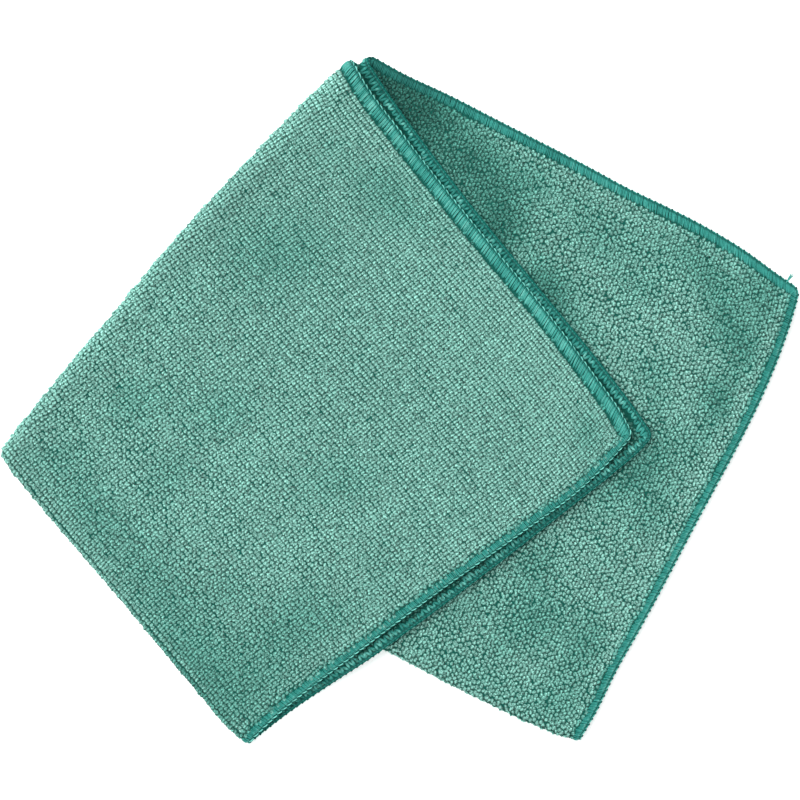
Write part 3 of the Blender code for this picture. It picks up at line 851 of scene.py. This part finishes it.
def strand_faces(rows, corners):
    """Triangles of one thread, and where each of their corners lies in its cell of the bake."""
    faces, places = [], []
    for r in range(rows - 1):
        here, ahead = r / (rows - 1), (r + 1) / (rows - 1)
        for k in range(corners):
            low, high = k / corners, (k + 1) / corners
            a, b = r * corners + k, r * corners + (k + 1) % corners
            faces += [(b + corners, b, a), (a + corners, b + corners, a)]
            places += [((ahead, high), (here, high), (here, low)),
                       ((ahead, low), (ahead, high), (here, low))]
    end = (rows - 1) * corners
    for k in range(1, corners - 1):
        low, high = k / corners, (k + 1) / corners
        faces += [(k, k + 1, 0), (end + k + 1, end + k, end)]
        places += [((0.0, low), (0.0, high), (0.03, 0.0)), ((1.0, high), (1.0, low), (0.97, 0.0))]
    return np.array(faces), np.array(places)


def strands(name, s, inset, height, wide, tall, ring, face, tone, material):
    """A piece of many short threads on the cloth's rim. s holds one row of stations for each
    thread, and its inset from the rim, height, width, thickness and tone are the same for all
    threads or their own. The ring is the thread's section: points aside and over it."""
    inset, height, wide, tall, tone = (
        np.broadcast_to(values, s.shape) for values in (inset, height, wide, tall, tone)
    )
    run, cross = rim_point(s, inset)
    centre = on_cloth(run, cross, height * face)
    up = surface_axes(*inside_rim(run, cross))[2] * face
    ahead = unit(np.gradient(centre, axis=1))
    aside = unit(np.cross(up, ahead))
    up = np.cross(ahead, aside)
    rings = [centre + aside * (a * wide)[..., None] + up * (b * tall)[..., None] for a, b in ring]
    points = np.stack(rings, axis=2)
    count, rows, corners = points.shape[:3]
    faces, places = strand_faces(rows, corners)
    faces = faces[None] + rows * corners * np.arange(count)[:, None, None]
    on_back = (run > FOLD_RUN_AT_HEM) & (cross > 0)
    # the back panel's patches paint shade and light onto its threads too
    tone = tone * (1 + THREAD_SHARE * on_back * swell(BACK_PILE_AND_SHADING, centre[..., :2]))
    attributes = {"tone": np.repeat(tone.ravel(), corners)}
    uv = cells(places, count)
    return make_mesh(name, points.reshape(-1, 3), faces.reshape(-1, 3), material, attributes, uv)


def stitches(per_stitch, random, noise):
    """Starts of evenly spaced threads round the rim, a little uneven."""
    count = per_stitch * STITCHES
    return count, np.arange(count) * RIM_LENGTH / count + random.normal(0, noise, count)


def hem_kind(s):
    """Which hem a place on the rim belongs to, in the order of the tables above."""
    run, cross = rim_point(s, np.full(len(s), 2.0))
    long_hem = np.where(cross < 0, 1, 2)
    return np.where(run < SHORT_HEM_END, 0, np.where(run > SIDE - SHORT_HEM_END, 3, long_hem))


def make_ribs(random, material):
    """Threads across the hem on its outer face, in two pairs for each stitch."""
    count, start = stitches(4, random, 0.04)
    kind = hem_kind(start)
    depth = np.choose(kind, HEM_DEPTHS) + random.normal(0.3, 0.22, count)
    pair = np.tile((1, -1), count // 2)
    start += pair * np.where(kind == 1, 0.08, 0.03)
    slant = np.choose(kind, RIB_SLANTS) + random.normal(0, 0.03, count)
    inset = (depth - RIB_START)[:, None] * (1.0, 0.82, 0.56, 0.26, 0.0)
    s = start[:, None] - slant[:, None] * inset + random.normal(0, 0.03, inset.shape)
    height = random.normal(0, 0.05, (count, 1)) + (0.4, 0.64, 0.86, 0.82, 0.3)
    wide = random.normal(1.0, 0.12, (count, 1)) * (0.4, 0.66, 0.72, 0.72, 0.6)
    tall = random.normal(1.0, 0.2, (count, 1)) * (0.2, 0.25, 0.26, 0.26, 0.2)
    worn = random.normal(1.0, 0.1, count) * (1 + 0.04 * WALE_DRIFT(start, start * 0))
    # each hem's rib brightness, partly painted light and shade
    tone = np.array(RIB_TONES)[kind] * worn[:, None]
    inset += RIB_START
    return strands("hem_ribs", s, inset, height, wide, tall, FLAT_RING, 1, tone, material)


def make_chevrons(random, material):
    """The threads on the hem's inner face: a V for each stitch."""
    count, start = stitches(1, random, 0.25)
    reach = random.normal(1.0, 0.22, count)[:, None]
    s = start[:, None] + (0.2, 0.5, 0.9, 1.35, 1.8, 2.1, 2.4)
    inset = 1.0 + reach * (0.0, 1.0, 2.1, 2.8, 2.1, 1.1, 0.1)
    height = (0.46, 0.54, 0.58, 0.56, 0.58, 0.54, 0.46)
    wide = (0.9, 1.2, 1.1, 0.8, 1.1, 1.2, 0.9)
    tall = (0.2, 0.3, 0.34, 0.3, 0.34, 0.3, 0.2)
    # each hem's chevron brightness, partly painted light and shade
    tone = np.choose(hem_kind(start), CHEVRON_TONES)[:, None]
    tone = tone * (0.58, 0.92, 0.86, 0.55, 0.82, 0.92, 0.58)
    tone *= random.normal(1.0, 0.14, (count, 1)) * random.normal(1.0, 0.16, tone.shape)
    return strands("hem_chevrons", s, inset, height, wide, tall, FLAT_RING, -1, tone, material)


def make_edge_cord(random, material):
    """One thin cord along the rim for each stitch."""
    count, start = stitches(1, random, 0.05)
    s = start[:, None] + (-0.1, 0.6, 1.3, 2.0, 2.5)
    inset = (0.45, 0.12, -0.02, 0.0, 0.2)
    height = (0.5, 0.5, 0.42, 0.3, 0.1)
    wide = (0.25, 0.42, 0.48, 0.45, 0.25)
    # each hem's cord brightness, partly painted light and shade
    tone = np.choose(hem_kind(start), CORD_TONES) * random.normal(1.0, 0.1, count)
    tone = tone[:, None] * (0.8, 1.1, 1.15, 1.05, 0.65)
    return strands("edge_cord", s, inset, height, wide, wide, ROUND_RING, 1, tone, material)


def make_knots(random, material):
    """The knot on the rim between one stitch and the next, made dark as painted shade in the notch
    there.
    """
    count, start = stitches(1, random, 0.06)
    s = start[:, None] + (-0.5, -0.25, 0.1, 0.42)
    size = np.choose(hem_kind(start), KNOT_SIZES)[:, None]
    inset = 0.3 - size * (0.0, 0.6, 0.7, 0.1)
    height = (0.34, 0.24, 0.06, -0.2)
    wide = size * (0.3, 0.8, 0.82, 0.3)
    # the knots' darkness is painted shade
    tone = random.normal(0.34, 0.05, (count, 1))
    return strands("edge_knots", s, inset, height, wide, wide, ROUND_RING, 1, tone, material)


def make_edge_roll(random, material):
    """The folded-under rim that the stitches wrap, with their pale bights on its inner side. The
    roll itself is made dark as painted shade.
    """
    count, corners = 4 * STITCHES, 8
    s = (np.arange(count) * RIM_LENGTH / count)[:, None]
    angle = np.arange(corners) * 2 * math.pi / corners
    run, cross = rim_point(s, 0.95 + 0.9 * np.cos(angle))
    points = on_cloth(run, cross, 0.6 * np.sin(angle)).reshape(-1, 3)
    index = np.arange(count * corners).reshape(count, corners)
    ahead = np.roll(index, -1, axis=0)
    faces = [index, np.roll(index, -1, axis=1), np.roll(ahead, -1, axis=1), ahead]
    # the roll is dark as painted shade, its bights paler
    tone = np.repeat(random.normal(0.3, 0.04, (count, 1)), corners, axis=1)
    tone[:, 4:6] = np.tile((1.15, 0.35), count // 2)[:, None] * random.normal(1.0, 0.12, (count, 1))
    return make_mesh("edge_roll", points, np.stack(faces, axis=-1).reshape(-1, 4), material,
                     {"tone": tone.ravel()})


def make_thread_tail(random, material):
    """The few loose thread ends that stand out from the hem beside one corner."""
    count = 4
    corner = 2 * (SIDE - 2 * CORNER_RADIUS) + math.pi * CORNER_RADIUS
    out = random.normal(1.0, 0.12, (count, 1)) * (-1.2, -0.3, 0.8, 1.8, 2.8, 3.6)
    splay = random.normal(0, 0.16, (count, 1)) * np.maximum(out, 0)
    s = corner + 3.2 - 0.35 * out + splay
    height = 0.5 + random.normal(0, 0.16, (count, 1)) + 0.2 * out
    wide = (0.5, 0.5, 0.46, 0.42, 0.36, 0.22)
    tone = random.normal(0.9, 0.1, (count, 1))
    return strands("thread_tail", s, -out, height, wide, wide, ROUND_RING, 1, tone, material)


# ---- materials

def connect(tree, value, socket):
    """Sets a socket to a number or a colour, or links another node's output to it."""
    if isinstance(value, tuple):
        socket.default_value = (*value, 1.0)
    elif isinstance(value, (int, float)):
        socket.default_value = value
    else:
        tree.links.new(value, socket)


def node(tree, kind, output, inputs, **settings):
    """Adds a node with its settings and inputs, and returns one of its outputs."""
    added = tree.nodes.new("ShaderNode" + kind)
    for key, value in settings.items():
        setattr(added, key, value)
    for key, value in inputs.items():
        connect(tree, value, added.inputs[key])
    return added.outputs[output]


def new_material(name):
    material = bpy.data.materials.new(name)
    material.use_nodes = True
    return material, material.node_tree


def surface(tree, **inputs):
    """Sets or links inputs of the material's shader, with _ for each space in their names."""
    for key, value in inputs.items():
        connect(tree, value, tree.nodes["Principled BSDF"].inputs[key.replace("_", " ")])


def attribute(tree, name):
    return node(tree, "Attribute", "Fac", {}, attribute_name=name)


def math_node(tree, operation, first, second):
    return node(tree, "Math", "Value", {0: first, 1: second}, operation=operation)


def blend_colour(tree, share, first, second):
    return node(tree, "Mix", "Result", {"Factor": share, "A": first, "B": second}, data_type="RGBA")


def ramp(tree, value, low, high):
    """0 below low, 1 above high, and smooth between them."""
    inputs = {"From Min": low, "From Max": high, "Value": value}
    return node(tree, "MapRange", "Result", inputs, interpolation_type="SMOOTHSTEP")


def noise(tree, scale, detail):
    place = node(tree, "NewGeometry", "Position", {})
    return node(tree, "TexNoise", "Fac", {"Scale": scale, "Detail": detail, "Vector": place})


def scale_colour(tree, colour, share):
    return node(tree, "VectorMath", "Vector", {0: colour, "Scale": share}, operation="SCALE")


def bump(tree, height, strength, distance):
    inputs = {"Strength": strength, "Distance": distance, "Height": height}
    return node(tree, "Bump", "Normal", inputs)


CROWN_COLOUR = (0.272, 0.565, 0.487)
ROOT_COLOUR_AND_SHADE = (0.003, 0.085, 0.062)
TINTED_COLOUR = (0.08, 0.36, 0.30)
# the deep green that dark patches take on, a painted shade
DEEP_SHADE_COLOUR = (0.02, 0.28, 0.215)
# the ground and the backing are dark partly as painted shade between the loops and the threads
GROUND_DARK, GROUND_PALE = (0.003, 0.06, 0.045), (0.012, 0.12, 0.095)
BACKING_COLOUR = (0.004, 0.13, 0.105)
THREAD_COLOUR = (0.055, 0.36, 0.305)
THREAD_SHEEN = (0.14, 0.44, 0.38)
THREAD_SHADE = (0.004, 0.18, 0.15)


def loop_material():
    """Split polyester and polyamide yarn: pale crowns, and a deep green at the foot of each loop
    that is partly the yarn's own colour and partly painted shade between the loops.
    """
    material, tree = new_material("terry_loops")
    paleness = math_node(tree, "POWER", attribute(tree, "crown"), 0.9)
    top = blend_colour(tree, attribute(tree, "tint"), CROWN_COLOUR, TINTED_COLOUR)
    # dark patches, partly painted shade, turn the crowns a deeper green
    top = blend_colour(tree, attribute(tree, "deep"), top, DEEP_SHADE_COLOUR)
    # from a dark foot, partly painted shade between the loops, up to the crown
    colour = blend_colour(tree, paleness, ROOT_COLOUR_AND_SHADE, top)
    fibre = noise(tree, 1750.0, 1.0)
    streak = math_node(tree, "ADD", math_node(tree, "MULTIPLY", fibre, 3.6), -0.8)
    shade = math_node(tree, "MULTIPLY", streak, attribute(tree, "tone"))
    surface(tree, Base_Color=scale_colour(tree, colour, shade), Roughness=0.72,
            Specular_IOR_Level=0.06, Sheen_Weight=0.04, Sheen_Roughness=0.5,
            Normal=bump(tree, fibre, 0.5, 0.0001))
    return material


def ground_material():
    """The knitted ground between the loops, and the hem's backing, both made dark partly as painted
    shade between the loops and the threads.
    """
    material, tree = new_material("knitted_ground")
    grain = noise(tree, 900.0, 4.0)
    knitted = blend_colour(tree, grain, GROUND_DARK, GROUND_PALE)
    inner = ramp(tree, attribute(tree, "hem_distance"), 2.6, 3.4)
    surface(tree, Base_Color=blend_colour(tree, inner, BACKING_COLOUR, knitted), Roughness=0.9,
            Specular_IOR_Level=0.05, Normal=bump(tree, grain, 0.6, 0.0003))
    return material


def thread_material():
    """Textured polyester overlock thread, a more saturated green than the loops; its brighter tones
    turn paler as a painted sheen.
    """
    material, tree = new_material("overlock_thread")
    tone = attribute(tree, "tone")
    strand = noise(tree, 1800.0, 3.0)
    # brighter threads turn paler, a painted sheen
    lit = blend_colour(tree, ramp(tree, tone, 0.85, 1.35), THREAD_COLOUR, THREAD_SHEEN)
    colour = blend_colour(tree, math_node(tree, "MULTIPLY", strand, 1.6), THREAD_SHADE, lit)
    surface(tree, Base_Color=scale_colour(tree, colour, tone), Roughness=0.6,
            Specular_IOR_Level=0.06, Normal=bump(tree, strand, 0.5, 0.00012))
    return material


# ---- floor, light and camera

def make_floor():
    material, tree = new_material("pale_floor")
    surface(tree, Base_Color=(0.92, 0.92, 0.92), Roughness=0.9, Emission_Color=(1.0, 1.0, 1.0),
            Emission_Strength=FLOOR_GLOW)
    bpy.ops.mesh.primitive_plane_add(size=6.0, location=(0, 0, -0.0002))
    floor = bpy.context.object
    floor.name = "floor"
    floor.data.materials.append(material)


def make_light():
    light = bpy.data.lights.new("key", "AREA")
    light.shape = "SQUARE"
    light.size = KEY_SIZE
    light.energy = KEY_POWER
    item = new_object("key", light, KEY_PLACE)
    item.rotation_euler = (-Vector(KEY_PLACE)).to_track_quat("-Z", "Y").to_euler()


def make_world():
    world = bpy.data.worlds.new("studio")
    world.use_nodes = True
    background = world.node_tree.nodes["Background"]
    background.inputs["Color"].default_value = (1.0, 1.0, 1.0, 1.0)
    background.inputs["Strength"].default_value = WORLD_LIGHT
    bpy.context.scene.world = world


def make_camera():
    half_view = VIEW_PIXELS / PIXELS_PER_MM / 2
    height = half_view * LENS / (SENSOR / 2) + FOCUS_HEIGHT
    camera = bpy.data.cameras.new("camera")
    camera.lens = LENS
    camera.sensor_width = SENSOR
    camera.clip_end = 20.0
    place = (SHIFT[0] * MM, SHIFT[1] * MM, height * MM)
    bpy.context.scene.camera = new_object("camera", camera, place)


# ---- the object

SHIFT = cad_shift()
random = np.random.default_rng(RIM_SEED)
loops_material, sheet_material, hem_material = loop_material(), ground_material(), thread_material()

sheet = make_sheet(sheet_material)
loops = make_pile(loops_material)
makers = (make_ribs, make_chevrons, make_edge_cord, make_knots, make_edge_roll, make_thread_tail)
threads = [make(random, hem_material) for make in makers]

make_floor()
make_world()
make_light()
make_camera()
bpy.context.scene.view_settings.view_transform = "Standard"

for item in [sheet, *loops, *threads]:
    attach(item, "root")
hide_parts("cloth")
